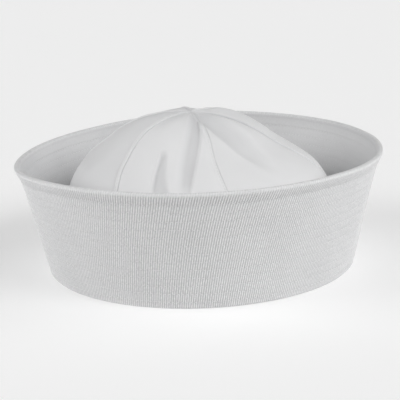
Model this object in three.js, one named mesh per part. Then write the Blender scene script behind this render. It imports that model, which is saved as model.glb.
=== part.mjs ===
// White cotton sailor cap, resting on the fold of its turned-up cuff.
// Six sewn gores make the soft crown, a thick quilted cuff flares up around it, and a plain band lines
// the head opening. Millimetres, +Z up, origin on the resting plane in the middle of the head opening.
// An azimuth is in degrees: 0 is the front, towards -Y, and 90 is the side towards +X.

import * as THREE from "three";

// Head opening: the length round its inside, and how much further it reaches front and back.
const HEAD_CIRCUMFERENCE = 590;
const LONGER_FRONT_AND_BACK = 5.8;

// Cloth thicknesses, and the clearance left between two pieces that are sewn together.
const BAND_CLOTH = 1.2;
const CROWN_CLOTH = 1.3;
const CUFF_CLOTH = 2.6;
const CLEARANCE = 0.35;

// Half-widths across the head opening, from the inside out.
const OPENING_HALF_WIDTH = (HEAD_CIRCUMFERENCE / Math.PI - LONGER_FRONT_AND_BACK) / 2;
const CROWN_HALF_WIDTH = OPENING_HALF_WIDTH + BAND_CLOTH + CLEARANCE + CROWN_CLOTH;
const CUFF_HALF_WIDTH = CROWN_HALF_WIDTH + CLEARANCE + CUFF_CLOTH;

// Crown: the half-width and sideways lean of its outer face at each height, from its lower edge up.
const CROWN_FOOT = CUFF_CLOTH + 0.45;
const CROWN_SECTIONS = [
  { height: CROWN_FOOT, halfWidth: CROWN_HALF_WIDTH, lean: 0 },
  { height: 18, halfWidth: 93, lean: 0 },
  { height: 32, halfWidth: 89.6, lean: 0 },
  { height: 43, halfWidth: 85.8, lean: -0.3 },
  { height: 52.3, halfWidth: 81.5, lean: -0.5 },
  { height: 61.4, halfWidth: 76, lean: -1.6 },
  { height: 70.5, halfWidth: 66.5, lean: -3.6 },
  { height: 78.6, halfWidth: 55.2, lean: -4.6 },
  { height: 87.2, halfWidth: 43.6, lean: -4.3 },
  { height: 93.4, halfWidth: 30.3, lean: -3.7 },
  { height: 96.5, halfWidth: 14.9, lean: -3.4 },
  { height: 97.2, halfWidth: 0, lean: -3.3 },
];

// Gores of the crown: the azimuth of the seam that each one starts from, at the crown's foot and at its
// top, and how far the cloth near the gore's tip puffs out, or sinks in where puff is negative.
const GORES = [
  { seamFoot: -40, seamTop: -44, puff: 1 },
  { seamFoot: 14, seamTop: 16, puff: 1.2 },
  { seamFoot: 88, seamTop: 69, puff: 1.8 },
  { seamFoot: 140, seamTop: 132, puff: -1.9 },
  { seamFoot: 198, seamTop: 194, puff: -1.6 },
  { seamFoot: 259, seamTop: 254, puff: 0.2 },
];
const SEAM_TURN_START = 0.3;
const SEAM_TURN_END = 0.9;
const PUFF_RADIUS = 20;
const PUFF_REACH = 14;
const GORE_SWELL = 0.9;
const GORE_TIP_RADIUS = 1.3;

// Folds of the crown, each from a lower to an upper end. Climb is 0 at the crown's lower edge and 1 at
// its top, width is to each side of the fold's line, and a ridge is a fold of negative depth.
const FOLDS = [
  { lowAzimuth: -18, lowClimb: 0.36, highAzimuth: -19.5, highClimb: 0.66, width: 5.5, depth: 1.5 },
  { lowAzimuth: -12, lowClimb: 0.36, highAzimuth: -17, highClimb: 0.66, width: 5.5, depth: -0.7 },
  { lowAzimuth: -3, lowClimb: 0.34, highAzimuth: -4, highClimb: 0.95, width: 8, depth: 2.4 },
  { lowAzimuth: -4, lowClimb: 0.34, highAzimuth: 17, highClimb: 0.86, width: 6.5, depth: -1.3 },
  { lowAzimuth: 47, lowClimb: 0.42, highAzimuth: 30, highClimb: 0.95, width: 8, depth: 2.2 },
  { lowAzimuth: 42, lowClimb: 0.44, highAzimuth: 17, highClimb: 0.78, width: 6.5, depth: -1.2 },
  { lowAzimuth: 104, lowClimb: 0.4, highAzimuth: 112, highClimb: 0.9, width: 9, depth: 1.6 },
  { lowAzimuth: 168, lowClimb: 0.38, highAzimuth: 162, highClimb: 0.88, width: 9, depth: 1.4 },
  { lowAzimuth: 232, lowClimb: 0.4, highAzimuth: 222, highClimb: 0.86, width: 8, depth: 1.2 },
  { lowAzimuth: 282, lowClimb: 0.4, highAzimuth: 288, highClimb: 0.8, width: 9, depth: 0.8 },
];

// Cuff: the height of its rim round the cap, its even flare, and the outward curl of its upper edge.
const RIM_HEIGHTS = [
  { azimuth: 0, height: 73.5 },
  { azimuth: 45, height: 73.4 },
  { azimuth: 90, height: 72.5 },
  { azimuth: 135, height: 73.6 },
  { azimuth: 180, height: 74.3 },
  { azimuth: 225, height: 70.9 },
  { azimuth: 270, height: 69.4 },
  { azimuth: 315, height: 73.4 },
];
const CUFF_FLARE = 0.243;
const CURL = 1.4;
const CURL_HEIGHT = 20;

// Rolled hem along the rim, how far it stands out of the cuff's outer and inner faces, and the radius
// of the fold along the cuff's foot.
const HEM_HEIGHT = 4.8;
const HEM_OUTSIDE = 0.6;
const HEM_INSIDE = 0.4;
const HEM_ROUND = 1.5;
const FOLD_RADIUS = 2.2;

// How far the headband reaches up inside the crown.
const BAND_CLIMB = 0.185;

// How finely the cloth is divided.
const GORE_COLUMNS = 16;
const GORE_ROWS = 13;
const CUFF_STEPS = 84;
const BAND_STEPS = 60;
const BAND_ROWS = 2;

const COTTON = { color: 0xe9eaec, roughness: 0.92, metalness: 0 };

const { lerp, degToRad, radToDeg, euclideanModulo, smoothstep } = THREE.MathUtils;

// A closed solid from rings of corners, each ring one step further round or up the piece. Runs that
// don't come back to their start are closed by end faces. There each ring must hold an outer row of
// corners and then the inner row backwards, and an end face is a strip between those two rows.
function solidFromRings(rings, comesRound) {
  const corners = rings[0].length;
  const faces = [];
  const addQuad = (a, b, c, d) => faces.push(a, b, d, b, c, d);
  const steps = comesRound ? rings.length : rings.length - 1;
  for (let ring = 0; ring < steps; ring += 1) {
    const here = ring * corners;
    const next = ((ring + 1) % rings.length) * corners;
    for (let corner = 0; corner < corners; corner += 1) {
      const beside = (corner + 1) % corners;
      addQuad(here + corner, here + beside, next + beside, next + corner);
    }
  }
  if (!comesRound) {
    const end = (rings.length - 1) * corners;
    for (let corner = 0; corner < corners / 2 - 1; corner += 1) {
      const beside = corner + 1;
      const inner = corners - 1 - corner;
      const innerBeside = inner - 1;
      addQuad(inner, innerBeside, beside, corner);
      addQuad(end + corner, end + beside, end + innerBeside, end + inner);
    }
  }
  const positions = rings.flat().flatMap((corner) => corner.toArray());
  const geometry = new THREE.BufferGeometry();
  geometry.setAttribute("position", new THREE.Float32BufferAttribute(positions, 3));
  geometry.setIndex(faces);
  geometry.computeVertexNormals();
  return geometry;
}

function clothPiece(name, geometry) {
  const piece = new THREE.Mesh(geometry, new THREE.MeshStandardMaterial(COTTON));
  piece.name = name;
  return piece;
}

// The crown's sections as one smooth line: x is the half-width, y the lean and z the height.
const crownLine = new THREE.CatmullRomCurve3(
  CROWN_SECTIONS.map(({ height, halfWidth, lean }) => new THREE.Vector3(halfWidth, lean, height)),
);
crownLine.arcLengthDivisions = 600;
const CROWN_OVAL = 1 + LONGER_FRONT_AND_BACK / CROWN_HALF_WIDTH;

function smoothCrownPoint(azimuth, climb) {
  const section = crownLine.getPointAt(climb);
  const turn = degToRad(azimuth);
  const sideways = section.x * Math.sin(turn) + section.y;
  return new THREE.Vector3(sideways, -section.x * CROWN_OVAL * Math.cos(turn), section.z);
}

// Outward direction of the smooth crown, from two short steps across its surface.
function crownOutward(azimuth, climb) {
  const turn = 0.5;
  const rise = 0.002;
  const lower = Math.max(0, climb - rise);
  const upper = Math.min(1, climb + rise);
  const along = smoothCrownPoint(azimuth + turn, climb).sub(smoothCrownPoint(azimuth - turn, climb));
  const up = smoothCrownPoint(azimuth, upper).sub(smoothCrownPoint(azimuth, lower));
  return along.cross(up).normalize();
}

// The azimuth of the seam that a gore starts from, at any climb, and the gore's width there.
function seamAzimuth(index, climb) {
  const { seamFoot, seamTop } = GORES[index % GORES.length];
  return lerp(seamFoot, seamTop, smoothstep(climb, SEAM_TURN_START, SEAM_TURN_END));
}

function goreWidth(index, climb) {
  return euclideanModulo(seamAzimuth(index + 1, climb) - seamAzimuth(index, climb), 360);
}

// How far the cloth stands out of the smooth crown: the swell and puff of the gores, less the folds.
function crownRelief(azimuth, climb) {
  const pastSeam = (index) => euclideanModulo(azimuth - seamAzimuth(index, climb), 360);
  const gore = GORES.findIndex((row, index) => pastSeam(index) < goreWidth(index, climb));
  const betweenSeams = Math.sin((Math.PI * pastSeam(gore)) / goreWidth(gore, climb)) ** 2;
  const radius = crownLine.getPointAt(climb).x;
  const swell = GORE_SWELL * smoothstep(climb, BAND_CLIMB, 2 * BAND_CLIMB);
  const puff = GORES[gore].puff * Math.exp(-(((radius - PUFF_RADIUS) / PUFF_REACH) ** 2));
  const offTop = smoothstep(radius, 0, PUFF_RADIUS);
  let relief = (swell + puff) * offTop * betweenSeams;
  for (const fold of FOLDS) {
    const travelled = (climb - fold.lowClimb) / (fold.highClimb - fold.lowClimb);
    if (travelled > 0 && travelled < 1) {
      const offLine = azimuth - lerp(fold.lowAzimuth, fold.highAzimuth, travelled);
      const sideways = degToRad(euclideanModulo(offLine + 180, 360) - 180) * radius;
      const fade = Math.sin(Math.PI * travelled);
      relief -= fold.depth * fade * Math.exp(-((sideways / fold.width) ** 2));
    }
  }
  return relief;
}

// A point of the crown's cloth, or of what lies under it, at a given depth below its outer face.
function crownPoint(azimuth, climb, depth) {
  const outward = crownOutward(azimuth, climb);
  return smoothCrownPoint(azimuth, climb).addScaledVector(outward, crownRelief(azimuth, climb) - depth);
}

// One gore: a curved triangle of cloth between two seams that narrows to a small tip at the top.
function makeGore(index) {
  const tipClimb = 1 - GORE_TIP_RADIUS / crownLine.getLength();
  const rings = [];
  for (let row = 0; row <= GORE_ROWS; row += 1) {
    const climb = (tipClimb * row) / GORE_ROWS;
    const seamTurn = radToDeg(CLEARANCE / 2 / crownLine.getPointAt(climb).x);
    const firstEdge = seamAzimuth(index, climb) + seamTurn;
    const lastEdge = firstEdge + goreWidth(index, climb) - 2 * seamTurn;
    const outer = [];
    const inner = [];
    for (let column = 0; column <= GORE_COLUMNS; column += 1) {
      const azimuth = lerp(firstEdge, lastEdge, column / GORE_COLUMNS);
      outer.push(crownPoint(azimuth, climb, 0));
      inner.unshift(crownPoint(azimuth, climb, CROWN_CLOTH));
    }
    rings.push([...outer, ...inner]);
  }
  return clothPiece(`crown_gore_${index + 1}`, solidFromRings(rings, false));
}

// The rim's height at any azimuth, on a smooth closed line through its table.
const rimLine = new THREE.CatmullRomCurve3(
  RIM_HEIGHTS.map(({ height }) => new THREE.Vector3(0, 0, height)),
  true,
  "catmullrom",
);

function rimHeight(azimuth) {
  return rimLine.getPoint(euclideanModulo(azimuth, 360) / 360).z;
}

// The cuff's cross-section as distances out of its foot and heights: down the outer face from the top of
// the hem, round the fold, in along the foot that the crown and band stand on, and up the inner face.
function cuffSection(rim) {
  const curlStart = rim - CURL_HEIGHT;
  const wall = (height) => CUFF_FLARE * height + CURL * (Math.max(0, height - curlStart) / CURL_HEIGHT) ** 2;
  const outside = (below, standsOut) => [wall(rim - below) + standsOut, rim - below];
  const inside = (below, standsOut) => [wall(rim - below) - CUFF_CLOTH - standsOut, rim - below];
  const middle = 0.55 * rim;
  const curlMiddle = 0.6 * CURL_HEIGHT;
  const foldCentre = wall(FOLD_RADIUS) - FOLD_RADIUS;
  const fold = [0, 30, 60, 90].map((turn) => {
    const angle = degToRad(turn);
    return [foldCentre + FOLD_RADIUS * Math.cos(angle), FOLD_RADIUS * (1 - Math.sin(angle))];
  });
  return [
    outside(0, -CUFF_CLOTH / 2),
    outside(0.3 * HEM_ROUND, HEM_OUTSIDE - 0.5 * HEM_ROUND),
    outside(HEM_ROUND, HEM_OUTSIDE),
    outside(HEM_HEIGHT - HEM_OUTSIDE, HEM_OUTSIDE),
    outside(HEM_HEIGHT, 0),
    outside(curlMiddle, 0),
    outside(CURL_HEIGHT, 0),
    outside(middle, 0),
    ...fold,
    [OPENING_HALF_WIDTH - CUFF_HALF_WIDTH, 0],
    [OPENING_HALF_WIDTH - CUFF_HALF_WIDTH, CUFF_CLOTH],
    [wall(CUFF_CLOTH) - CUFF_CLOTH, CUFF_CLOTH],
    inside(middle, 0),
    inside(CURL_HEIGHT, 0),
    inside(curlMiddle, 0),
    inside(HEM_HEIGHT, 0),
    inside(HEM_HEIGHT - HEM_INSIDE, HEM_INSIDE),
    inside(HEM_ROUND, HEM_INSIDE),
    inside(0.3 * HEM_ROUND, HEM_INSIDE - 0.5 * HEM_ROUND),
  ];
}

// The cuff: one ring of quilted cloth, turned up from the fold at the foot and hemmed along the rim.
function makeCuff() {
  const rings = [];
  for (let step = 0; step < CUFF_STEPS; step += 1) {
    const azimuth = (360 * step) / CUFF_STEPS;
    const turn = degToRad(azimuth);
    const ring = cuffSection(rimHeight(azimuth)).map(([out, height]) => {
      const halfWidth = CUFF_HALF_WIDTH + out;
      const halfDepth = halfWidth + LONGER_FRONT_AND_BACK;
      return new THREE.Vector3(halfWidth * Math.sin(turn), -halfDepth * Math.cos(turn), height);
    });
    rings.push(ring);
  }
  return clothPiece("cuff", solidFromRings(rings, true));
}

// The headband: a plain strip that follows the inside of the crown up from the cuff's foot.
function makeHeadband() {
  const outerDepth = CROWN_CLOTH + CLEARANCE;
  const innerDepth = outerDepth + BAND_CLOTH;
  const rings = [];
  for (let step = 0; step < BAND_STEPS; step += 1) {
    const azimuth = (360 * step) / BAND_STEPS;
    const outer = [];
    const inner = [];
    for (let row = 0; row <= BAND_ROWS; row += 1) {
      const climb = (BAND_CLIMB * row) / BAND_ROWS;
      outer.unshift(crownPoint(azimuth, climb, outerDepth));
      inner.push(crownPoint(azimuth, climb, innerDepth));
    }
    rings.push([...outer, ...inner]);
  }
  return clothPiece("headband", solidFromRings(rings, true));
}

const cap = new THREE.Group();
cap.name = "sailor_cap";
cap.add(makeCuff(), makeHeadband());
GORES.forEach((gore, index) => cap.add(makeGore(index)));

export default cap;
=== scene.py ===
import math
from bisect import bisect_right

import bpy
from mathutils import Matrix, Vector, noise


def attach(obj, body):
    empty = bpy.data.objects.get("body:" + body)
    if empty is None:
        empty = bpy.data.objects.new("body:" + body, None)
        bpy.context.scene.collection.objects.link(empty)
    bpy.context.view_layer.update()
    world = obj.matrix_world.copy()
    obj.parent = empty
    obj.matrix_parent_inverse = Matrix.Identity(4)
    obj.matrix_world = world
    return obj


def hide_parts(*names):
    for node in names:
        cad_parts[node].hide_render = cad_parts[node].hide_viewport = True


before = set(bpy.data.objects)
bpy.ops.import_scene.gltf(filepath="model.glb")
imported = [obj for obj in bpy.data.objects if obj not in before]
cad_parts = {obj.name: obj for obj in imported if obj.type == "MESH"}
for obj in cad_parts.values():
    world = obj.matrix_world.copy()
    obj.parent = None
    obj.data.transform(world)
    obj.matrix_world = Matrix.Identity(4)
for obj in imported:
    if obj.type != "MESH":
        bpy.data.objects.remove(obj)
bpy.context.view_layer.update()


# Camera: a long lens a little above the rim, turned slightly so that the cap's right side sits higher.
# It looks at a point inside the cap, and the whole frame behind the cap is the pale floor.
LOOK_AT = Vector((0.0002, 0, 0.0395))
CAMERA_DISTANCE = 0.9653
CAMERA_ELEVATION = math.radians(13.885)
CAMERA_ROLL = math.radians(-2.19)
SENSOR_WIDTH = 36
FOCAL_LENGTH = 136.4
NEAREST_SEEN = 0.05
FURTHEST_SEEN = 40

camera = bpy.data.objects.new("camera", bpy.data.cameras.new("camera"))
bpy.context.scene.collection.objects.link(camera)
camera.data.sensor_width = SENSOR_WIDTH
camera.data.lens = FOCAL_LENGTH
camera.data.clip_start = NEAREST_SEEN
camera.data.clip_end = FURTHEST_SEEN
towards = Vector((0, math.cos(CAMERA_ELEVATION), -math.sin(CAMERA_ELEVATION)))
camera.location = LOOK_AT - CAMERA_DISTANCE * towards
aim = towards.to_track_quat("-Z", "Y").to_matrix().to_4x4()
camera.rotation_euler = (aim @ Matrix.Rotation(CAMERA_ROLL, 4, "Z")).to_euler()
bpy.context.scene.camera = camera


# Studio: a pale sheet lit from below for the floor, under large soft lights, the strongest two to the right
# and to the left of the camera, as for a product on a table. Azimuth 0 is the camera's side, 90 its right.
FLOOR_SIZE = 24
FLOOR_DARK = (0.59, 0.59, 0.59)
FLOOR_LIGHT = (0.61, 0.61, 0.61)
FLOOR_CLOUDS = 0.4
FLOOR_ROUGHNESS = 0.9
FLOOR_GLOW = 0.4
ROOM_BRIGHTNESS = 0.02
LIGHTS = [
    dict(name="right_softbox", azimuth=50, elevation=35, spread=34, strength=0.46),
    dict(name="far_right_softbox", azimuth=80, elevation=25, spread=40, strength=0.19),
    dict(name="back_right_softbox", azimuth=100, elevation=40, spread=40, strength=0.13),
    dict(name="left_softbox", azimuth=-55, elevation=30, spread=40, strength=0.13),
    dict(name="far_left_softbox", azimuth=-85, elevation=25, spread=40, strength=0.48),
    dict(name="ceiling", azimuth=0, elevation=85, spread=60, strength=0.04),
]


class Value:
    """A node's output, so that maths on it is written as a plain expression."""

    def __init__(self, nodes, socket):
        self.nodes = nodes
        self.socket = socket

    def output(self, name):
        return Value(self.nodes, self.socket.node.outputs[name])

    def maths(self, operation, *others):
        return self.nodes.maths(operation, self, *others)

    def __add__(self, other):
        return self.maths("ADD", other)

    def __sub__(self, other):
        return self.maths("SUBTRACT", other)

    def __rsub__(self, other):
        return self.nodes.maths("SUBTRACT", other, self)

    def __mul__(self, other):
        return self.maths("MULTIPLY", other)

    __radd__ = __add__
    __rmul__ = __mul__


class Nodes:
    """A node tree that is built in code, one node at a time."""

    def __init__(self, tree):
        self.tree = tree
        tree.nodes.clear()

    def node(self, kind, settings=None, sockets=None):
        made = self.tree.nodes.new(kind)
        for name, setting in (settings or {}).items():
            setattr(made, name, setting)
        for name, value in (sockets or {}).items():
            if isinstance(value, Value):
                self.tree.links.new(value.socket, made.inputs[name])
            else:
                made.inputs[name].default_value = value
        return Value(self, made.outputs[0]) if made.outputs else made

    def maths(self, operation, *numbers):
        return self.node("ShaderNodeMath", {"operation": operation}, dict(enumerate(numbers)))


class Finish(Nodes):
    """A node material."""

    def __init__(self, name):
        self.material = bpy.data.materials.new(name)
        self.material.use_nodes = True
        super().__init__(self.material.node_tree)

    def object_place(self):
        return self.node("ShaderNodeTexCoord").output("Object")

    def speckle(self, place, scale, detail=2.0):
        return self.node("ShaderNodeTexNoise", {}, {"Vector": place, "Scale": scale, "Detail": detail})

    def colour(self, share, dark, light):
        colours = {"Factor": share, 6: (*dark, 1), 7: (*light, 1)}
        return self.node("ShaderNodeMix", {"data_type": "RGBA"}, colours).output(2)

    def bump(self, height, size):
        sockets = {"Strength": size["strength"], "Distance": size["distance"], "Height": height}
        return self.node("ShaderNodeBump", {}, sockets)

    def surface(self, **sockets):
        named = {name.replace("_", " "): value for name, value in sockets.items()}
        shader = self.node("ShaderNodeBsdfPrincipled", {}, named)
        self.node("ShaderNodeOutputMaterial", {}, {"Surface": shader})
        return self.material


def floor_finish():
    finish = Finish("pale floor")
    cloud = finish.speckle(finish.object_place(), FLOOR_CLOUDS)
    return finish.surface(
        Base_Color=finish.colour(cloud, FLOOR_DARK, FLOOR_LIGHT),
        Roughness=FLOOR_ROUGHNESS,
        Emission_Color=(1, 1, 1, 1),
        Emission_Strength=FLOOR_GLOW,
    )


floor_mesh = bpy.data.meshes.new("floor")
reach = FLOOR_SIZE / 2
floor_corners = [(-reach, -reach, 0), (reach, -reach, 0), (reach, reach, 0), (-reach, reach, 0)]
floor_mesh.from_pydata(floor_corners, [], [(0, 1, 2, 3)])
floor_mesh.materials.append(floor_finish())
floor = bpy.data.objects.new("floor", floor_mesh)
bpy.context.scene.collection.objects.link(floor)

world = bpy.data.worlds.new("room")
world.use_nodes = True
world.node_tree.nodes["Background"].inputs["Color"].default_value = (1, 1, 1, 1)
world.node_tree.nodes["Background"].inputs["Strength"].default_value = ROOM_BRIGHTNESS
bpy.context.scene.world = world
bpy.context.scene.view_settings.view_transform = "Standard"

for row in LIGHTS:
    lamp = bpy.data.lights.new(row["name"], "SUN")
    lamp.angle = math.radians(row["spread"])
    lamp.energy = math.pi * row["strength"]
    light = bpy.data.objects.new(row["name"], lamp)
    turn, rise = math.radians(row["azimuth"]), math.radians(row["elevation"])
    shines = -Vector((math.sin(turn) * math.cos(rise), -math.cos(turn) * math.cos(rise), math.sin(rise)))
    light.rotation_euler = shines.to_track_quat("-Z", "Y").to_euler()
    bpy.context.scene.collection.objects.link(light)


# Crown: six curved triangles of white cotton twill, sewn edge to edge into a soft dome that stands on
# the cuff's foot. The cloth is shaped by its seams and by the folds that it was pressed into. Azimuth is
# in degrees from the front, and climb runs from 0, the crown's lower edge, to 1, its top.
CROWN_DARK = (0.53, 0.534, 0.547)
CROWN_LIGHT = (0.94, 0.94, 0.943)
CROWN_CLOTH = 0.0013
HALF_WIDTH = 0.09385
LONGER_FRONT_AND_BACK = 0.0058
CROWN_OVAL = 1 + LONGER_FRONT_AND_BACK / HALF_WIDTH
CROWN_SECTIONS = [
    dict(height=0.00305, half_width=0.09385, lean=0),
    dict(height=0.018, half_width=0.093, lean=0),
    dict(height=0.032, half_width=0.0896, lean=0),
    dict(height=0.043, half_width=0.0858, lean=-0.0003),
    dict(height=0.0523, half_width=0.0815, lean=-0.0005),
    dict(height=0.0614, half_width=0.076, lean=-0.0016),
    dict(height=0.0705, half_width=0.0665, lean=-0.0036),
    dict(height=0.0786, half_width=0.0552, lean=-0.0046),
    dict(height=0.0872, half_width=0.0436, lean=-0.0043),
    dict(height=0.0934, half_width=0.0303, lean=-0.0037),
    dict(height=0.0965, half_width=0.0149, lean=-0.0034),
    dict(height=0.0972, half_width=0, lean=-0.0033),
]
SECTION_STEPS = 48
CLIMB_STEP = 0.002
AZIMUTH_STEP = 0.5
# Each gore starts from a seam, which is felled to the side before it (-1) or after it (1). Each gore also
# carries its own painted light and shade: some gores are painted paler, and the left gore greyer.
GORES = [
    dict(seam_foot=-37.5, seam_top=-47, puff=0.001, pale=0.3, felled=-1, stands=0.0004, crease=0.0004),
    dict(seam_foot=14, seam_top=16, puff=0.0012, pale=0.15, felled=-1, stands=0.00012, crease=0.0003),
    dict(seam_foot=88, seam_top=64, puff=0.0018, pale=0, felled=1, stands=0.00025, crease=0.0011),
    dict(seam_foot=140, seam_top=132, puff=-0.0019, pale=0, felled=1, stands=0.0004, crease=0.0004),
    dict(seam_foot=198, seam_top=194, puff=-0.0016, pale=0.1, felled=-1, stands=0.0004, crease=0.0004),
    dict(seam_foot=259, seam_top=254, puff=0.0002, pale=-0.6, felled=-1, stands=0.0004, crease=0.0004),
]
# A seam turns from its azimuth at the foot to that at the top between these climbs.
SEAM_TURN = (0.3, 0.9)
SEAM_SLACK = 1
# A gore swells between its seams above the headband, and puffs out or in near the top.
BAND_CLIMB = 0.185
GORE_SWELL = 0.0009
PUFF_RADIUS = 0.02
PUFF_REACH = 0.014
# Folds: a middle line from a low (azimuth, climb) to a high one. One with a depth below 0 is a ridge.
FOLDS = [
    dict(low=(-18, 0.36), high=(-19.5, 0.66), width=0.0055, depth=0.0015),
    dict(low=(-12, 0.36), high=(-17, 0.66), width=0.0055, depth=-0.0007),
    dict(low=(-3, 0.34), high=(-4, 0.95), width=0.008, depth=0.0024),
    dict(low=(-4, 0.34), high=(17, 0.86), width=0.0065, depth=-0.0013),
    dict(low=(47, 0.42), high=(30, 0.95), width=0.008, depth=0.0022),
    dict(low=(42, 0.44), high=(17, 0.78), width=0.0065, depth=-0.0012),
    dict(low=(104, 0.4), high=(112, 0.9), width=0.009, depth=0.0016),
    dict(low=(168, 0.38), high=(162, 0.88), width=0.009, depth=0.0014),
    dict(low=(232, 0.4), high=(222, 0.86), width=0.008, depth=0.0012),
    dict(low=(282, 0.4), high=(288, 0.8), width=0.009, depth=0.0008),
]
# Pressed hollows: a middle line, the degrees that it spreads over, how wide its two edges are, and the
# part of its length over which it fades out at its foot.
HOLLOWS = [
    dict(low=(-16, 0.3), high=(-17.5, 0.65), spread=(12, 6), edges=(0.0014, 0.005), fade=0.15, depth=0.0018),
    dict(low=(-7, 0.4), high=(6, 0.97), spread=(7, 29), edges=(0.007, 0.0018), fade=0.15, depth=0.0022),
    dict(low=(45, 0.46), high=(34, 0.97), spread=(8, 60), edges=(0.0025, 0.009), fade=0.5, depth=0.0022),
    dict(low=(112, 0.42), high=(104, 0.9), spread=(7, 20), edges=(0.003, 0.006), fade=0.3, depth=0.0012),
    dict(low=(176, 0.4), high=(164, 0.92), spread=(6, 18), edges=(0.006, 0.002), fade=0.3, depth=0.0014),
    dict(low=(222, 0.42), high=(226, 0.9), spread=(6, 16), edges=(0.002, 0.006), fade=0.3, depth=0.0012),
]
HOLLOW_END = 0.88
HOLLOW_RADIUS = 0.012
# Painted shade: how much greyer the bottom of a hollow is painted.
HOLLOW_PAINTED_SHADE = 1.1
# The seams hold the cloth near the top: hollows grow shallow within this radius, and it puckers.
HELD_RADIUS = 0.034
PUCKERS = 3
PUCKER_DEPTH = 0.0007
PUCKER_RADIUS = 0.008
PUCKER_REACH = 0.6 * PUCKER_RADIUS
# Painted shade at the top of the crown, fading out over this radius.
TOP_PAINTED_SHADE = 1.7
TOP_PAINTED_SHADE_RADIUS = 0.038
# A fell is a flat strip with a bead of cloth along its far edge. Near the top it narrows with the gore.
FELL_WIDTH = 0.0024
FELL_EDGE = 0.0004
FELL_ROUND = 0.0001
FELL_SHARE = 0.3
BEAD_WIDTH = 0.0004
BEAD_STANDS = 0.5
CREASE_SPREAD = 1.4
FELLED_CREASE_SPREAD = 0.7
# Painted light and shade along the seams: what a metre of rise adds as a painted highlight, and what a metre
# of crease takes away as painted shade.
SEAM_PAINTED_HIGHLIGHT = 1400
CREASE_PAINTED_SHADE = 3500
SOFTNESS = 0.00025
SOFTNESS_SIZE = 0.018
FINER_SIZE = 0.4
FINER_SHARE = 0.5
SHARP_ANGLE = math.radians(62)
SEAM_GAP = 0.00002
TIP_RADIUS = 0.00015
GORE_ROWS = 92
GORE_COLUMNS = 70
SEAM_COLUMNS = (0, 0.0002, 0.0004, 0.0008, 0.0013, 0.0017, 0.002, 0.0023, 0.0025, 0.0028, 0.0034, 0.0044)
SEAM_COLUMNS_SHARE = 0.4
TWILL_PITCH = 0.0008
TWILL_SLANT = (0.83, 0.56)
TWILL_YARNS = 900.0
TWILL_CLOUDS = 30.0
TWILL_SHADE = dict(cloud=0.11, yarns=0.06, twill=0.015, paleness=0.15, usual=0.685)
TWILL_BUMP = dict(twill=0.5, yarns=0.9, distance=0.00008, strength=0.5)
TWILL_ROUGHNESS = 0.85
YARN_ROUGHNESS = 0.1
COTTON_SHEEN = 0.06
YARN_DETAIL = 3.0


def lerp(start, end, part):
    return start + (end - start) * part


def smoothstep(value, low, high):
    part = min(1, max(0, (value - low) / (high - low)))
    return part * part * (3 - 2 * part)


def curve_between(start, end, leave, arrive, t):
    """The place at t, from 0 to 1, on a cubic curve that leaves start and arrives at end on these slopes."""
    return (
        (2 * t**3 - 3 * t**2 + 1) * start
        + (t**3 - 2 * t**2 + t) * leave
        + (3 * t**2 - 2 * t**3) * end
        + (t**3 - t**2) * arrive
    )


def fine_line(points, steps):
    """A centripetal Catmull-Rom line through the points, as short straight pieces."""
    ends = [2 * points[0] - points[1], *points, 2 * points[-1] - points[-2]]
    line = []
    for corners in zip(ends, ends[1:], ends[2:], ends[3:]):
        before, start, end, after = corners
        first, span, last = (math.sqrt((b - a).length) for a, b in zip(corners, corners[1:]))
        leave = (start - before) / first - (end - before) / (first + span) + (end - start) / span
        arrive = (end - start) / span - (after - start) / (span + last) + (after - end) / last
        for step in range(steps):
            line.append(curve_between(start, end, leave * span, arrive * span, step / steps))
    return line + [points[-1]]


section_points = [Vector((row["half_width"], row["lean"], row["height"])) for row in CROWN_SECTIONS]
section_line = fine_line(section_points, SECTION_STEPS)
section_lengths = [0]
for here, there in zip(section_line, section_line[1:]):
    section_lengths.append(section_lengths[-1] + (there - here).length)
CROWN_LENGTH = section_lengths[-1]


def crown_section(climb):
    """The crown's half-width, lean and height at a climb."""
    length = min(1, max(0, climb)) * CROWN_LENGTH
    index = min(bisect_right(section_lengths, length), len(section_line) - 1)
    low, high = section_lengths[index - 1], section_lengths[index]
    return section_line[index - 1].lerp(section_line[index], (length - low) / (high - low))


def smooth_crown_point(azimuth, climb):
    section = crown_section(climb)
    turn = math.radians(azimuth)
    half_depth = section.x * CROWN_OVAL
    return Vector((section.x * math.sin(turn) + section.y, -half_depth * math.cos(turn), section.z))


def crown_outward(azimuth, climb):
    left, right = azimuth - AZIMUTH_STEP, azimuth + AZIMUTH_STEP
    lower, upper = max(0, climb - CLIMB_STEP), min(1, climb + CLIMB_STEP)
    along = smooth_crown_point(right, climb) - smooth_crown_point(left, climb)
    up = smooth_crown_point(azimuth, upper) - smooth_crown_point(azimuth, lower)
    return along.cross(up).normalized()


def seam_azimuth(index, climb):
    gore = GORES[index % len(GORES)]
    return lerp(gore["seam_foot"], gore["seam_top"], smoothstep(climb, *SEAM_TURN))


def gore_width(index, climb):
    return (seam_azimuth(index + 1, climb) - seam_azimuth(index, climb)) % 360


def fell_scale(gore_arc):
    """How much narrower a fell is than usual, on a gore that is so wide."""
    return min(1, FELL_SHARE * gore_arc / FELL_WIDTH)


def seam_rise(past, gore_arc, seam, felled):
    """The cloth's rise at a distance past a seam. On the felled side it lies over a sewn strip with a
    beaded edge, and on the other side it only dips into the crease."""
    scale = fell_scale(gore_arc)
    past /= scale
    crease_width = seam["crease"] * (FELLED_CREASE_SPREAD if felled else CREASE_SPREAD)
    dip = seam["crease"] * math.exp(-((past / crease_width) ** 2))
    if not felled:
        return -dip * scale
    past_strip = smoothstep(past, FELL_WIDTH - FELL_ROUND, FELL_WIDTH + FELL_EDGE)
    strip = smoothstep(past, 0, FELL_EDGE) * (1 - past_strip)
    bead = math.exp(-(((past - FELL_WIDTH + BEAD_WIDTH) / BEAD_WIDTH) ** 2))
    return (seam["stands"] * (strip + BEAD_STANDS * bead) - dip) * scale


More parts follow.
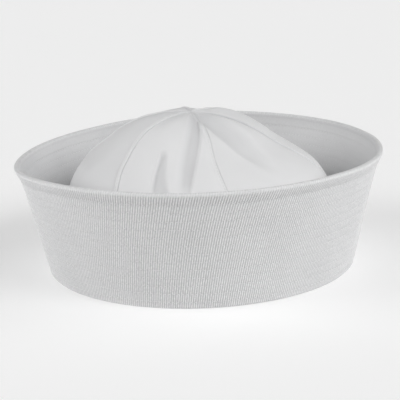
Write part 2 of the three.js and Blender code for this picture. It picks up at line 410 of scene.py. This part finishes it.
def both_seams_rise(past_seam, before_seam, gore_arc, index):
    first, last = GORES[index], GORES[(index + 1) % len(GORES)]
    rise = seam_rise(past_seam, gore_arc, first, first["felled"] > 0)
    return rise + seam_rise(before_seam, gore_arc, last, last["felled"] < 0)


def off_fold(fold, azimuth, climb, radius):
    """How far up a fold a point is, from 0 to 1, and how far to the side of its line."""
    travelled = (climb - fold["low"][1]) / (fold["high"][1] - fold["low"][1])
    off_line = azimuth - lerp(fold["low"][0], fold["high"][0], travelled)
    return travelled, math.radians((off_line + 180) % 360 - 180) * radius


def in_hollow(hollow, azimuth, climb, radius):
    """How far down a hollow a point is, from 0 at its edges to 1 on its bottom."""
    travelled, sideways = off_fold(hollow, azimuth, climb, radius)
    if not 0 < travelled < 1:
        return 0
    half = math.radians(lerp(*hollow["spread"], travelled)) * radius / 2
    left, right = (min(edge, half) for edge in hollow["edges"])
    across = smoothstep(sideways, -half, left - half) * (1 - smoothstep(sideways, half - right, half))
    along = smoothstep(travelled, 0, hollow["fade"]) * (1 - smoothstep(travelled, HOLLOW_END, 1))
    return across * along * smoothstep(radius, 0, HOLLOW_RADIUS)


def crown_paleness(azimuth, climb, index):
    """The painted shading of the crown's cloth: each gore's own painted light and shade, and painted shade
    in the hollows and at the top.
    """
    radius = crown_section(climb).x
    hollow = max(in_hollow(hollow, azimuth, climb, radius) for hollow in HOLLOWS)
    top = math.exp(-((radius / TOP_PAINTED_SHADE_RADIUS) ** 2))
    return GORES[index]["pale"] - HOLLOW_PAINTED_SHADE * hollow - TOP_PAINTED_SHADE * top


def crown_relief(azimuth, climb, index):
    """How far the cloth of a gore stands out of the smooth crown."""
    past_seam = (azimuth - seam_azimuth(index, climb) + SEAM_SLACK) % 360 - SEAM_SLACK
    across = min(1, max(0, past_seam / gore_width(index, climb)))
    radius = crown_section(climb).x
    swell = GORE_SWELL * smoothstep(climb, BAND_CLIMB, 2 * BAND_CLIMB)
    puff = GORES[index]["puff"] * math.exp(-(((radius - PUFF_RADIUS) / PUFF_REACH) ** 2))
    relief = (swell + puff) * smoothstep(radius, 0, PUFF_RADIUS) * math.sin(math.pi * across) ** 2
    gathered = math.exp(-(((radius - PUCKER_RADIUS) / PUCKER_REACH) ** 2))
    relief -= PUCKER_DEPTH * math.sin(PUCKERS * math.pi * across) ** 2 * gathered
    for fold in FOLDS:
        travelled, sideways = off_fold(fold, azimuth, climb, radius)
        if 0 < travelled < 1:
            off_middle = math.exp(-((sideways / fold["width"]) ** 2))
            relief -= fold["depth"] * math.sin(math.pi * travelled) * off_middle
    hollowed = sum(hollow["depth"] * in_hollow(hollow, azimuth, climb, radius) for hollow in HOLLOWS)
    return relief - hollowed * smoothstep(radius, 0, HELD_RADIUS)


def soft_unevenness(point, size):
    """A smooth random number from about -1 to 1, for cloth that isn't quite even."""
    return noise.noise(point / size) + FINER_SHARE * noise.noise(point / (FINER_SIZE * size))


def crown_point(azimuth, climb, index, depth=0, rise=0):
    point = smooth_crown_point(azimuth, climb)
    stands = crown_relief(azimuth, climb, index) + SOFTNESS * soft_unevenness(point, SOFTNESS_SIZE)
    return point + crown_outward(azimuth, climb) * (stands + rise - depth)


def cloth_mesh(name, rows, around, joined=False):
    """A closed piece of cloth from rows of (point, u, v, painted shading), where the painted shading is
    painted light and shade. Each row runs round the piece and closes on itself, and around is what u gains
    in one round. A row that has fewer points than the next is joined to it by wider faces. The last row is
    joined to the first, or else each end is closed by a strip between the row's outer half and its inner
    half."""
    starts = [0]
    for row in rows:
        starts.append(starts[-1] + len(row))
    faces = []
    uvs = []

    def add_face(corners):
        faces.append([starts[r] + k % len(rows[r]) for r, k in corners])
        for r, k in corners:
            u, v = rows[r][k % len(rows[r])][1:3]
            uvs.append((u + around * (k // len(rows[r])), v))

    pairs = list(zip(range(len(rows)), range(1, len(rows))))
    if joined:
        pairs.append((len(rows) - 1, 0))
    for below, above in pairs:
        cells = min(len(rows[below]), len(rows[above]))
        for cell in range(cells):
            corners = []
            for r, order in ((below, 1), (above, -1)):
                first, last = (edge * len(rows[r]) // cells for edge in (cell, cell + 1))
                corners += [(r, k) for k in range(first, last + 1)][::order]
            add_face(corners)
    if not joined:
        last = len(rows) - 1
        foot_end, top_end = len(rows[0]) - 1, len(rows[last]) - 1
        for k in range(len(rows[0]) // 2 - 1):
            add_face([(0, foot_end - k), (0, foot_end - 1 - k), (0, k + 1), (0, k)])
        for k in range(len(rows[last]) // 2 - 1):
            add_face([(last, k), (last, k + 1), (last, top_end - 1 - k), (last, top_end - k)])

    mesh = bpy.data.meshes.new(name)
    mesh.from_pydata([point for row in rows for point, *rest in row], [], faces)
    mesh.uv_layers.new(name="cloth").data.foreach_set("uv", [part for uv in uvs for part in uv])
    # Each point's painted shading: painted light and shade.
    shades = mesh.attributes.new("paleness", "FLOAT", "POINT")
    shades.data.foreach_set("value", [paleness for row in rows for *rest, paleness in row])
    mesh.shade_smooth()
    mesh.set_sharp_from_angle(angle=SHARP_ANGLE)
    return mesh


def finished_piece(name, mesh, material, nodes=()):
    piece = bpy.data.objects.new(name, mesh)
    bpy.context.scene.collection.objects.link(piece)
    mesh.materials.clear()
    mesh.materials.append(material)
    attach(piece, "root")
    if nodes:
        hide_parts(*nodes)
    return piece


def twill_finish(name, dark, light, pitch):
    """Washed cotton twill: fine diagonal lines, uneven yarns, and the painted light and shade that the mesh
    holds.
    """
    finish = Finish(name)
    place = finish.object_place()
    weave = finish.node("ShaderNodeUVMap", {"uv_map": "cloth"})
    cloth = finish.node("ShaderNodeSeparateXYZ", {}, {"Vector": weave})
    across, along = TWILL_SLANT
    lines = (across * cloth.output("X") + along * cloth.output("Y")) * (2 * math.pi / pitch)
    twill = lines.maths("SINE")
    yarns = finish.speckle(place, TWILL_YARNS, YARN_DETAIL)
    cloud = finish.speckle(place, TWILL_CLOUDS)
    paleness = finish.node("ShaderNodeAttribute", {"attribute_name": "paleness"}).output("Fac")
    # The painted shading attribute adds painted light and shade to the cloth's tone.
    shade = TWILL_SHADE["cloud"] * cloud + TWILL_SHADE["yarns"] * yarns + TWILL_SHADE["twill"] * twill
    shade = shade + TWILL_SHADE["paleness"] * paleness + TWILL_SHADE["usual"]
    height = TWILL_BUMP["twill"] * twill + TWILL_BUMP["yarns"] * yarns
    return finish.surface(
        Base_Color=finish.colour(shade, dark, light),
        Roughness=TWILL_ROUGHNESS + YARN_ROUGHNESS * yarns,
        Sheen_Weight=COTTON_SHEEN,
        Normal=finish.bump(height, TWILL_BUMP),
    )


def gore_columns(arc):
    """Fractions across a gore, close together where the seams shape the cloth."""
    scale = min(1, SEAM_COLUMNS_SHARE * arc / SEAM_COLUMNS[-1])
    first = [distance * scale / arc for distance in SEAM_COLUMNS]
    last = [1 - part for part in first[::-1]]
    middle = [lerp(first[-1], last[0], step / GORE_COLUMNS) for step in range(1, GORE_COLUMNS)]
    return first + middle + last


def gore_mesh(index):
    rows = []
    for row in range(GORE_ROWS + 1):
        climb = (1 - TIP_RADIUS / CROWN_LENGTH) * row / GORE_ROWS
        radius = crown_section(climb).x
        gap = math.degrees(SEAM_GAP / radius)
        first = seam_azimuth(index, climb) + gap
        width = gore_width(index, climb) - 2 * gap
        arc = math.radians(width) * radius
        outer, inner = [], []
        for part in gore_columns(arc):
            azimuth = first + width * part
            u, v = arc * (part - 0.5), climb * CROWN_LENGTH
            rise = both_seams_rise(arc * part, arc * (1 - part), arc, index)
            # A painted highlight on the raised seam strip and bead, and painted shade in the seam's crease.
            seam_paleness = rise * (SEAM_PAINTED_HIGHLIGHT if rise > 0 else CREASE_PAINTED_SHADE)
            paleness = crown_paleness(azimuth, climb, index) + seam_paleness
            outer.append((crown_point(azimuth, climb, index, rise=rise), u, v, paleness))
            inner.insert(0, (crown_point(azimuth, climb, index, depth=CROWN_CLOTH), u, v, 0))
        rows.append(outer + inner)
    return cloth_mesh(f"crown_gore_{index + 1}", rows, 0)


def gore_cut(index):
    """The width, length and area that a gore is cut to."""
    arcs = []
    for row in range(GORE_ROWS + 1):
        climb = row / GORE_ROWS
        mean_radius = crown_section(climb).x * (1 + CROWN_OVAL) / 2
        arcs.append(math.radians(gore_width(index, climb)) * mean_radius)
    return max(arcs), CROWN_LENGTH, sum(arcs) / len(arcs) * CROWN_LENGTH


crown_material = twill_finish("washed cotton twill", CROWN_DARK, CROWN_LIGHT, TWILL_PITCH)
for index in range(len(GORES)):
    node = f"crown_gore_{index + 1}"
    gore = finished_piece(f"{node}_cloth", gore_mesh(index), crown_material, [node])
    cut_width, cut_length, cut_area = gore_cut(index)


# Headband: a plain folded strip of the same cotton, sewn round the inside of the crown's lower edge.
BAND_DARK = (0.54, 0.54, 0.538)
BAND_LIGHT = (0.86, 0.86, 0.852)
BAND_TWILL_PITCH = 0.0006
BAND_CLOTH = 0.0012
BAND_CLEARANCE = 0.00035
BAND_STEPS = 240
BAND_ROWS = 14


def band_point(azimuth, climb, depth):
    return smooth_crown_point(azimuth, climb) - crown_outward(azimuth, climb) * depth


def band_mesh():
    around = 2 * math.pi * HALF_WIDTH
    outer_depth = CROWN_CLOTH + BAND_CLEARANCE
    length = BAND_CLIMB * CROWN_LENGTH
    rows = []
    for depth, order in ((outer_depth, 1), (outer_depth + BAND_CLOTH, -1)):
        for row in range(BAND_ROWS + 1)[::order]:
            climb = BAND_CLIMB * row / BAND_ROWS
            v = climb * CROWN_LENGTH if order > 0 else 2 * length - climb * CROWN_LENGTH
            ring = []
            for step in range(BAND_STEPS):
                azimuth = 360 * step / BAND_STEPS
                ring.append((band_point(azimuth, climb, depth), around * step / BAND_STEPS, v, 0))
            rows.append(ring)
    return cloth_mesh("headband_cloth", rows, around, joined=True)


band_material = twill_finish("plain cotton tape", BAND_DARK, BAND_LIGHT, BAND_TWILL_PITCH)
headband = finished_piece("headband_cloth", band_mesh(), band_material, ["headband"])


# Cuff: a thick doubled ring of ribbed white twill, turned up from the fold at the foot. Rows of stitching
# quilt it all the way round, and the rolled edge of its hem finishes the rim. Along the cloth, v runs up
# the outer face from the fold to the rim, and on down the inner face.
CUFF_DARK = (0.53, 0.532, 0.54)
CUFF_LIGHT = (0.85, 0.85, 0.852)
CUFF_CLOTH = 0.0026
CUFF_HALF_WIDTH = 0.0968
OPENING_HALF_WIDTH = 0.091
USUAL_RIM = 0.0735
RIM_HEIGHTS = [0.0735, 0.0734, 0.0725, 0.0736, 0.0743, 0.0709, 0.0694, 0.0734]
CUFF_FLARE = 0.243
CURL = 0.0014
CURL_HEIGHT = 0.02
FOLD_RADIUS = 0.0022
FOLD_TURNS = (90, 60, 35, 12)
FOOT_EDGE_V = -0.006
FOOT_TOP_V = -0.0085
STITCH_ROWS = 13
STITCH_ROW_PITCH = 0.0052
FOOT_ROW = 0.0045
PUFF = 0.00008
PUFFED_PARTS = (0.2, 0.8)
SINK = 0.00012
# A sunk stitch row: shallower ribs, and painted shade along the row.
SUNK_ROW = dict(ribs=0.4, paleness=-0.4, stitched=True)
RIBS = 474
RIB_COLUMNS = 3
RIB_DEPTH = 0.00028
RIB_LEAN_FOOT = math.tan(math.radians(7.2))
RIB_LEAN_RIM = math.tan(math.radians(12.2))
FOLD_RIBS = 0.5
# The hem: how far it reaches below the rim, where it is fullest, and the round of its lip.
HEM_DEPTH = 0.0078
HEM_FULL = 0.0022
HEM_ROLL = 0.0014
HEM_STANDS = 0.0011
HEM_STANDS_INSIDE = 0.3
HEM_DRAWN_IN = 0.75
HEM_LEANS_BACK = 0.7
HEM_LEVELS = (0.0076, 0.0069, 0.0056, 0.0042, 0.003, 0.0022, 0.0014, 0.0009, 0.0005, 0.0002)
HEM_RIBS = 1.3
# Painted shade on the hem below its lip, and a painted highlight on the lip.
HEM_PAINTED_SHADE = -0.35
LIP_PAINTED_HIGHLIGHT = 0.8
RIM_V = STITCH_ROW_PITCH * (STITCH_ROWS - 1) + HEM_DEPTH + FOOT_ROW
WAVE = 0.0004
WAVE_SIZE = 0.028
WAVE_HEIGHTS = (0.008, 0.04)
# Painted light on the inner face: it is painted palest at this azimuth and greyest opposite it.
INNER_PAINTED_LIGHT = 1.0
INNER_PAINTED_LIGHTEST = 140
CUFF_YARNS = 800.0
CUFF_CLOUDS = 24.0
FLECKS_PER_METRE = (1400, 620, 1)
INNER_FLECKS = 0.25
CHANNEL_SHARPNESS = 8
LIP_EDGE = 0.0008
LIP_BLEND = 450
LIP_RIBBING = 0.2
RIB_FLECKS = 2.4
RIB_FLECKS_LEAST = 0.2
# What makes the cuff's cloth paler, what makes it greyer, and what shapes its surface. The painted shading
# is painted light and shade. The greyer ribs, channel and inside are painted shade in the rib grooves, along
# the stitch rows and over the inner face.
CUFF_PALER = dict(cloud=0.3, yarns=0.2, fleck=0.9, paleness=0.2)
CUFF_GREYER = dict(usual=0.2, ribs=0.4, channel=0.1, inside=0.15)
CUFF_BUMP = dict(yarns=0.8, fleck=0.5, ribs=0.8, channel=0.5, distance=0.00015, strength=0.6)
CUFF_ROUGHNESS = 0.86


def rim_height(azimuth):
    """The rim's height, on a smooth closed line through its eight heights."""
    place = azimuth % 360 / 360 * len(RIM_HEIGHTS)
    index = int(place)
    before, start, end, after = (RIM_HEIGHTS[(index + k) % len(RIM_HEIGHTS)] for k in (-1, 0, 1, 2))
    return curve_between(start, end, (end - before) / 2, (after - start) / 2, place - index)


def cuff_out(height, rim):
    """How far the cuff's outer face stands out of its foot line at a height."""
    return CUFF_FLARE * height + CURL * (max(0, height - (rim - CURL_HEIGHT)) / CURL_HEIGHT) ** 2


def rib_turn(height):
    """How far round the ribs have leaned at a height, in degrees."""
    steeper = (RIB_LEAN_RIM - RIB_LEAN_FOOT) * height**2 / (2 * USUAL_RIM)
    return math.degrees((RIB_LEAN_FOOT * height + steeper) / CUFF_HALF_WIDTH)


def cuff_point(azimuth, out, height):
    turn = math.radians(azimuth)
    half_width = CUFF_HALF_WIDTH + out
    half_depth = half_width + LONGER_FRONT_AND_BACK
    point = Vector((half_width * math.sin(turn), -half_depth * math.cos(turn), height))
    wave = WAVE * smoothstep(height, *WAVE_HEIGHTS) * soft_unevenness(point, WAVE_SIZE)
    return point + Vector((math.sin(turn), -math.cos(turn), 0)) * wave


def cuff_section(rim):
    """The cuff's cross-section, one dict for each row of its cloth: along its foot, round the fold, up the
    outer face, over the rim and down the inner face. A row without ribs has one column for each rib."""
    corner = OPENING_HALF_WIDTH - CUFF_HALF_WIDTH
    row_height = (rim - HEM_DEPTH - FOOT_ROW) / (STITCH_ROWS - 1)
    fold_centre = cuff_out(FOLD_RADIUS, rim) - FOLD_RADIUS
    foot_inside = cuff_out(CUFF_CLOTH, rim) - CUFF_CLOTH
    section = [
        dict(out=corner, height=CUFF_CLOTH, v=FOOT_TOP_V),
        dict(out=corner, height=0, v=FOOT_EDGE_V),
    ]
    inner_face = [dict(out=foot_inside, height=CUFF_CLOTH, v=2 * RIM_V - CUFF_CLOTH)]

    def add_wall(height, v, stands, inside_stands, **more):
        middle = cuff_out(height, rim) - CUFF_CLOTH / 2
        outside = dict(out=middle + CUFF_CLOTH / 2 + stands, height=height, v=v, **more)
        inside = dict(out=middle - CUFF_CLOTH / 2 - inside_stands, height=height, v=2 * RIM_V - v)
        section.append(outside)
        inner_face.insert(0, inside)

    for turn in FOLD_TURNS:
        angle = math.radians(turn)
        out, height = fold_centre + FOLD_RADIUS * math.cos(angle), FOLD_RADIUS * (1 - math.sin(angle))
        section.append(dict(out=out, height=height, v=height, ribs=FOLD_RIBS * (1 - turn / 90)))
    add_wall(FOOT_ROW, FOOT_ROW, -SINK, 0, **SUNK_ROW)
    for row in range(STITCH_ROWS - 1):
        for part in PUFFED_PARTS:
            height, v = FOOT_ROW + row_height * (row + part), FOOT_ROW + STITCH_ROW_PITCH * (row + part)
            add_wall(height, v, PUFF, PUFF / 2, ribs=1)
        height, v = FOOT_ROW + row_height * (row + 1), FOOT_ROW + STITCH_ROW_PITCH * (row + 1)
        add_wall(height, v, -SINK, -SINK / 2, **SUNK_ROW)
    for below in HEM_LEVELS:
        rounded = math.sqrt(1 - (1 - min(1, below / HEM_ROLL)) ** 2)
        drawn_in = min(1, (HEM_DEPTH - below) / (HEM_DEPTH - HEM_FULL)) ** HEM_DRAWN_IN
        leaned_back = lerp(HEM_LEANS_BACK, 1, min(1, below / HEM_FULL))
        stands = HEM_STANDS * drawn_in * leaned_back
        narrowing = (1 - rounded) * CUFF_CLOTH / 2
        lip = 1 - smoothstep(below, HEM_ROLL, HEM_ROLL + HEM_FULL)
        # The hem carries painted shade, blending into a painted highlight on the lip.
        add_wall(
            rim - below,
            RIM_V - below,
            rounded * stands - narrowing,
            HEM_STANDS_INSIDE * rounded * stands - narrowing,
            ribs=HEM_RIBS * (1 - lip),
            paleness=lerp(HEM_PAINTED_SHADE, LIP_PAINTED_HIGHLIGHT, lip),
        )
    rim_middle = cuff_out(rim, rim) - CUFF_CLOTH / 2
    # The rim's row carries the lip's painted highlight.
    section.append(dict(out=rim_middle, height=rim, v=RIM_V, ribs=0, paleness=LIP_PAINTED_HIGHLIGHT))
    return section + inner_face


def cuff_rows():
    """The rows of the cuff's cloth, and the places of the stitch rows among them."""
    columns = RIBS * RIB_COLUMNS
    around = 2 * math.pi * CUFF_HALF_WIDTH
    rows = []
    stitched = []
    for column in range(columns):
        azimuth = 360 * column / columns
        section = cuff_section(rim_height(azimuth + rib_turn(USUAL_RIM)))
        if not rows:
            rows = [[] for row in section]
            stitched = [index for index, row in enumerate(section) if row.get("stitched")]
        groove = column % RIB_COLUMNS == 0
        inner_painted_light = INNER_PAINTED_LIGHT * math.cos(math.radians(azimuth - INNER_PAINTED_LIGHTEST))
        for ring, row in zip(rows, section):
            ribs = row.get("ribs")
            if ribs is None and not groove:
                continue
            out = row["out"] - (RIB_DEPTH * ribs if ribs and groove else 0)
            point = cuff_point(azimuth + rib_turn(row["height"]), out, row["height"])
            # Painted light and shade: the section's hem, lip and stitch rows, and the painted light on the
            # inner face.
            paleness = row.get("paleness", 0) + inner_painted_light * smoothstep(row["v"], RIM_V, RIM_V + HEM_DEPTH)
            ring.append((point, around * column / columns, row["v"], paleness))
    return rows, stitched


def cuff_finish():
    """Ribbed twill: grooves between the ribs and along the stitch rows, broken up by uneven yarns, with
    painted shade in the grooves and on the inner face, and the painted light and shade that the mesh holds.
    """
    finish = Finish("ribbed cotton twill")
    place = finish.object_place()
    cloth = finish.node("ShaderNodeUVMap", {"uv_map": "cloth"})
    ways = finish.node("ShaderNodeSeparateXYZ", {}, {"Vector": cloth})
    below_rim = (ways.output("Y") - RIM_V).maths("ABSOLUTE")
    inside = ways.output("Y").maths("GREATER_THAN", RIM_V + HEM_ROLL)
    groove = (ways.output("X") * (RIBS / CUFF_HALF_WIDTH)).maths("COSINE")
    stitch_row = ((below_rim - HEM_DEPTH) * (2 * math.pi / STITCH_ROW_PITCH)).maths("COSINE")
    channel = stitch_row.maths("MAXIMUM", 0).maths("POWER", CHANNEL_SHARPNESS)
    stretch = {0: cloth, 1: FLECKS_PER_METRE}
    weave = finish.speckle(finish.node("ShaderNodeVectorMath", {"operation": "MULTIPLY"}, stretch), 1.0)
    fleck = 0.5 + (weave - 0.5) * (1 - (1 - INNER_FLECKS) * inside)
    yarns = finish.speckle(place, CUFF_YARNS, YARN_DETAIL)
    cloud = finish.speckle(place, CUFF_CLOUDS)
    paleness = finish.node("ShaderNodeAttribute", {"attribute_name": "paleness"}).output("Fac")
    off_lip = ((below_rim - LIP_EDGE) * LIP_BLEND).maths("MINIMUM", 1).maths("MAXIMUM", LIP_RIBBING)
    ribs = groove * (1 - inside) * off_lip * (RIB_FLECKS * fleck - RIB_FLECKS_LEAST)
    paler, greyer, raised = CUFF_PALER, CUFF_GREYER, CUFF_BUMP
    # Painted shade in the rib grooves, along the stitch rows and over the inner face, and the painted light
    # and shade that the mesh holds.
    shade = paler["cloud"] * cloud + paler["yarns"] * yarns + paler["fleck"] * fleck - greyer["usual"]
    shade = shade - greyer["ribs"] * ribs - greyer["channel"] * channel
    shade = shade + paler["paleness"] * paleness - greyer["inside"] * inside
    height = raised["yarns"] * yarns + raised["fleck"] * fleck
    height = height - raised["ribs"] * ribs - raised["channel"] * channel
    return finish.surface(
        Base_Color=finish.colour(shade, CUFF_DARK, CUFF_LIGHT),
        Roughness=CUFF_ROUGHNESS + YARN_ROUGHNESS * yarns,
        Sheen_Weight=COTTON_SHEEN,
        Normal=finish.bump(height, CUFF_BUMP),
    )


cuff_cloth_rows, cuff_stitch_rows = cuff_rows()
cuff_mesh = cloth_mesh("cuff_cloth", cuff_cloth_rows, 2 * math.pi * CUFF_HALF_WIDTH, joined=True)
cuff = finished_piece("cuff_cloth", cuff_mesh, cuff_finish(), ["cuff"])
halfway_out = cuff_out(USUAL_RIM / 2, USUAL_RIM)
cuff_length = 2 * math.pi * (CUFF_HALF_WIDTH + halfway_out + LONGER_FRONT_AND_BACK / 2)


# Stitches: rows of white cotton thread that quilt the cuff through both faces, hold down the seams of the
# crown and edge the headband. Each stitch is a short bead of thread, sunk into the cloth at its ends.
CUFF_STITCH = dict(pitch=0.0027, length=0.0023, width=0.0004, height=0.00036, seed=3)
INNER_STITCH = dict(pitch=0.0027, length=0.0022, width=0.00036, height=0.0002, seed=4)
SEAM_STITCH = dict(pitch=0.0023, length=0.0019, width=0.00038, height=0.00034, seed=5)
BAND_STITCH = dict(pitch=0.0025, length=0.0021, width=0.0004, height=0.00036, seed=8)
STITCH_SLANT = 0.07
LEAST_STITCH = (0.9, 0.88, 0.85)
MOST_STITCH = (1.06, 1.1, 1.1)
BEAD_SIDES = 6
BEAD_RINGS = 4
# A stitch line on the cuff takes one of so many points of the cloth's row.
OUTER_POINTS = 6
INNER_POINTS = 2
SEAM_STITCH_PLACE = 0.0012
SEAM_STITCH_CLIMBS = (0.01, 0.975)
SEAM_LINE_STEPS = 99
BAND_STITCH_CLIMBS = (0.012, 0.17)
THREAD_DARK = (0.72, 0.722, 0.73)
THREAD_LIGHT = (0.86, 0.86, 0.86)
THREAD_STRANDS = 2600.0
THREAD_CLOUDS = 60.0
THREAD_SHADE = dict(cloud=0.5, strands=0.4)
THREAD_BUMP = dict(distance=0.00006, strength=0.4)
THREAD_ROUGHNESS = 0.66
STRAND_ROUGHNESS = 0.12
THREAD_SHEEN = 0.08


def stitch_nodes():
    """Beads of thread along the lines of a mesh, whose points say which way is out of the cloth."""
    tree = bpy.data.node_groups.new("rows of stitches", "GeometryNodeTree")
    nodes = Nodes(tree)
    tree.interface.new_socket(name="Lines", in_out="INPUT", socket_type="NodeSocketGeometry")
    for name in ("pitch", "length", "width", "height"):
        tree.interface.new_socket(name=name, in_out="INPUT", socket_type="NodeSocketFloat")
    tree.interface.new_socket(name="seed", in_out="INPUT", socket_type="NodeSocketInt")
    tree.interface.new_socket(name="thread", in_out="INPUT", socket_type="NodeSocketMaterial")
    tree.interface.new_socket(name="Stitches", in_out="OUTPUT", socket_type="NodeSocketGeometry")
    given = nodes.node("NodeGroupInput")
    line = nodes.node("GeometryNodeMeshToCurve", {}, {"Mesh": given.output("Lines")})
    places = nodes.node(
        "GeometryNodeResampleCurve",
        {"mode": "LENGTH"},
        {"Curve": line, "Length": given.output("pitch")},
    )
    outward = nodes.node(
        "GeometryNodeInputNamedAttribute",
        {"data_type": "FLOAT_VECTOR"},
        {"Name": "outward"},
    )
    along_line = nodes.node(
        "FunctionNodeAxesToRotation",
        {"primary_axis": "Z", "secondary_axis": "X"},
        {"Primary Axis": outward, "Secondary Axis": nodes.node("GeometryNodeInputTangent")},
    )
    slant = nodes.node(
        "FunctionNodeRandomValue",
        {"data_type": "FLOAT"},
        {2: -STITCH_SLANT, 3: STITCH_SLANT, "Seed": given.output("seed")},
    ).output(1)
    slanted = nodes.node("FunctionNodeAxisAngleToRotation", {}, {"Axis": (0, 0, 1), "Angle": slant})
    turn = nodes.node(
        "FunctionNodeRotateRotation",
        {"rotation_space": "LOCAL"},
        {"Rotation": along_line, "Rotate By": slanted},
    )
    halves = {axis: given.output(name) * 0.5 for axis, name in zip("XYZ", ("length", "width", "height"))}
    size = nodes.node("ShaderNodeCombineXYZ", {}, halves)
    uneven = nodes.node(
        "FunctionNodeRandomValue",
        {"data_type": "FLOAT_VECTOR"},
        {0: LEAST_STITCH, 1: MOST_STITCH, "Seed": given.output("seed")},
    )
    scale = nodes.node("ShaderNodeVectorMath", {"operation": "MULTIPLY"}, {0: size, 1: uneven})
    sphere = {"Segments": BEAD_SIDES, "Rings": BEAD_RINGS, "Radius": 1.0}
    bead = nodes.node("GeometryNodeMeshUVSphere", {}, sphere)
    beads = nodes.node(
        "GeometryNodeInstanceOnPoints",
        {},
        {"Points": places, "Instance": bead, "Rotation": turn, "Scale": scale},
    )
    real = nodes.node("GeometryNodeRealizeInstances", {}, {"Geometry": beads})
    smooth = nodes.node("GeometryNodeSetShadeSmooth", {}, {"Geometry": real})
    threaded = nodes.node(
        "GeometryNodeSetMaterial",
        {},
        {"Geometry": smooth, "Material": given.output("thread")},
    )
    nodes.node("NodeGroupOutput", {}, {"Stitches": threaded})
    return tree


def thread_finish():
    finish = Finish("white cotton thread")
    place = finish.object_place()
    strands = finish.speckle(place, THREAD_STRANDS)
    cloud = finish.speckle(place, THREAD_CLOUDS)
    shade = THREAD_SHADE["cloud"] * cloud + THREAD_SHADE["strands"] * strands
    return finish.surface(
        Base_Color=finish.colour(shade, THREAD_DARK, THREAD_LIGHT),
        Roughness=THREAD_ROUGHNESS + STRAND_ROUGHNESS * strands,
        Sheen_Weight=THREAD_SHEEN,
        Normal=finish.bump(strands, THREAD_BUMP),
    )


stitching = stitch_nodes()
thread = thread_finish()


def stitch_piece(name, lines, stitch):
    """One piece of thread from lines of (point, outward), each either closed or open."""
    vertices, outwards, edges = [], [], []
    for line, closed in lines:
        first = len(vertices)
        vertices += [point for point, outward in line]
        outwards += [part for point, outward in line for part in outward]
        edges += [(first + k, first + k + 1) for k in range(len(line) - 1)]
        if closed:
            edges.append((first + len(line) - 1, first))
    mesh = bpy.data.meshes.new(f"{name}_lines")
    mesh.from_pydata(vertices, edges, [])
    mesh.attributes.new("outward", "FLOAT_VECTOR", "POINT").data.foreach_set("vector", outwards)
    sewn = bpy.data.objects.new(f"{name}_lines", mesh)
    bpy.context.scene.collection.objects.link(sewn)
    modifier = sewn.modifiers.new("stitches", "NODES")
    modifier.node_group = stitching
    sockets = [item for item in stitching.interface.items_tree if item.in_out == "INPUT"]
    identifiers = {socket.name: socket.identifier for socket in sockets}
    for name_of_input, value in {**stitch, "thread": thread}.items():
        modifier[identifiers[name_of_input]] = value
    sewn.update_tag()
    depsgraph = bpy.context.evaluated_depsgraph_get()
    stitches = bpy.data.meshes.new_from_object(sewn.evaluated_get(depsgraph), depsgraph=depsgraph)
    bpy.data.objects.remove(sewn)
    return finished_piece(name, stitches, thread)


def cuff_stitch_lines(side):
    """The stitch rows on the cuff's outer face (side 1) or its inner face (side -1)."""
    lines = []
    rim_row = cuff_stitch_rows[-1] + len(HEM_LEVELS) + 1
    for row in cuff_stitch_rows:
        outer_ring, inner_ring = cuff_cloth_rows[row], cuff_cloth_rows[2 * rim_row - row]
        line = []
        for point, *rest in outer_ring[1::OUTER_POINTS] if side > 0 else inner_ring[::INNER_POINTS]:
            across = Vector((point.x, point.y, 0)).normalized()
            outward = side * Vector((across.x, across.y, -CUFF_FLARE)).normalized()
            line.append((point, outward))
        lines.append((line, True))
    return lines


def seam_stitch_lines():
    lines = []
    for index, seam in enumerate(GORES):
        gore = index if seam["felled"] > 0 else (index - 1) % len(GORES)
        line = []
        for step in range(SEAM_LINE_STEPS + 1):
            climb = lerp(*SEAM_STITCH_CLIMBS, step / SEAM_LINE_STEPS)
            radius = crown_section(climb).x
            arc = math.radians(gore_width(gore, climb)) * radius
            place = SEAM_STITCH_PLACE * fell_scale(arc)
            azimuth = seam_azimuth(index, climb) + seam["felled"] * math.degrees(place / radius)
            rise = seam_rise(place, arc, seam, True)
            line.append((crown_point(azimuth, climb, gore, rise=rise), crown_outward(azimuth, climb)))
        lines.append((line, False))
    return lines


def band_stitch_lines():
    lines = []
    depth = CROWN_CLOTH + BAND_CLEARANCE + BAND_CLOTH
    for climb in BAND_STITCH_CLIMBS:
        line = []
        for step in range(BAND_STEPS):
            azimuth = 360 * step / BAND_STEPS
            line.append((band_point(azimuth, climb, depth), -crown_outward(azimuth, climb)))
        lines.append((line, True))
    return lines


stitch_piece("cuff_outer_stitches", cuff_stitch_lines(1), CUFF_STITCH)
stitch_piece("cuff_inner_stitches", cuff_stitch_lines(-1), INNER_STITCH)
stitch_piece("crown_seam_stitches", seam_stitch_lines(), SEAM_STITCH)
stitch_piece("headband_stitches", band_stitch_lines(), BAND_STITCH)
